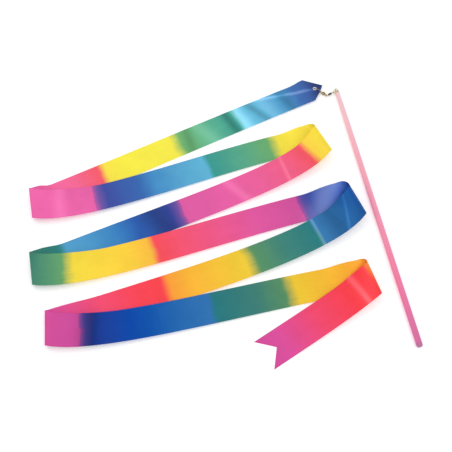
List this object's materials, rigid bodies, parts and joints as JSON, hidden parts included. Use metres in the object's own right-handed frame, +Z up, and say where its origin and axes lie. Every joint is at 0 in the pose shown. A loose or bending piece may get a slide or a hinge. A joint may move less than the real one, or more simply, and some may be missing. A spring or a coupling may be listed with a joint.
{
  "type": "rhythmic ribbon wand",
  "caption": "Slim gymnastics stick with a spinning tip eye, link ring, barrel swivel and snap clasp that carry a long rainbow satin ribbon, laid out flat in S bends.",
  "frame": {"origin": "centre of the bottom of the laid-out wand's bounding box, on the table it lies on", "axes": "+X towards the stick's side of the layout, +Y from the swallow tail towards the stick's tip, +Z up from the table"},
  "size_m": [0.6137, 0.555, 0.0343],
  "materials": {
    "sleeve_plastic": "smooth gloss, pale pink at the tip to magenta at the butt",
    "cap_plastic": "moulded gloss",
    "fibreglass": "pultruded rod",
    "plated_metal": "pale gilt plating",
    "dark_metal": "blackened",
    "steel": "bright",
    "rainbow_satin": "dyed satin, colours change along its length",
    "patch_satin": "dyed satin over backing",
    "eyelet_metal": "bright nickel"
  },
  "bodies": {
    "stick": {"stick_sleeve": "sleeve_plastic", "core_rod": "fibreglass", "butt_cap": "cap_plastic", "tip_ferrule": "plated_metal"},
    "tip_swivel": {"tip_eye": "plated_metal", "tip_eye_collar": "steel"},
    "link": {"link_ring": "plated_metal"},
    "swivel_stick_end": {"swivel_eye_stick_side": "plated_metal"},
    "barrel": {"swivel_barrel": "dark_metal"},
    "swivel_ribbon_end": {"swivel_eye_ribbon_side": "plated_metal"},
    "clasp": {"clasp_body": "plated_metal", "clasp_pin": "steel", "clasp_spring": "steel"},
    "gate": {"clasp_gate": "plated_metal"},
    "ribbon": {"ribbon": "rainbow_satin", "end_patch": "patch_satin", "eyelet_flange": "eyelet_metal", "eyelet_washer": "eyelet_metal"}
  },
  "joints": [
    {"name": "tip_spin", "type": "hinge", "parent": "stick", "child": "tip_swivel", "pos_m": [0.22819, 0.25221, 0.00475], "axis": [-0.1525, 0.9883, 0], "continuous": true},
    {"name": "link_swing", "type": "hinge", "parent": "tip_swivel", "child": "link", "pos_m": [0.22635, 0.25037, 0.00475], "axis": [0.7071, -0.7071, 0], "range_deg": [-90, 90]},
    {"name": "swivel_swing", "type": "hinge", "parent": "link", "child": "swivel_stick_end", "pos_m": [0.22157, 0.2456, 0.00475], "axis": [0, 0, 1], "range_deg": [-40, 0.5]},
    {"name": "barrel_spin", "type": "hinge", "parent": "swivel_stick_end", "child": "barrel", "pos_m": [0.21554, 0.24232, 0.00392], "axis": [-0.8725, -0.4738, -0.1193], "continuous": true},
    {"name": "ribbon_eye_spin", "type": "hinge", "parent": "barrel", "child": "swivel_ribbon_end", "pos_m": [0.21554, 0.24232, 0.00392], "axis": [-0.8725, -0.4738, -0.1193], "continuous": true},
    {"name": "clasp_swing", "type": "hinge", "parent": "swivel_ribbon_end", "child": "clasp", "pos_m": [0.20861, 0.24023, 0.00315], "axis": [0.6195, 0.785, 0], "range_deg": [-45, 45]},
    {"name": "gate_open", "type": "hinge", "parent": "clasp", "child": "gate", "pos_m": [0.20365, 0.24414, 0.00485], "axis": [-0.6195, -0.785, 0], "range_deg": [0, 18], "stiffness_Nm_per_rad": 0.001, "springref_deg": -11.46, "deforming": ["clasp_spring"]},
    {"name": "ribbon_swing", "type": "hinge", "parent": "clasp", "child": "ribbon", "pos_m": [0.1885, 0.2561, 0.0033], "axis": [0, 0, 1], "range_deg": [-40, 0.5]}
  ]
}
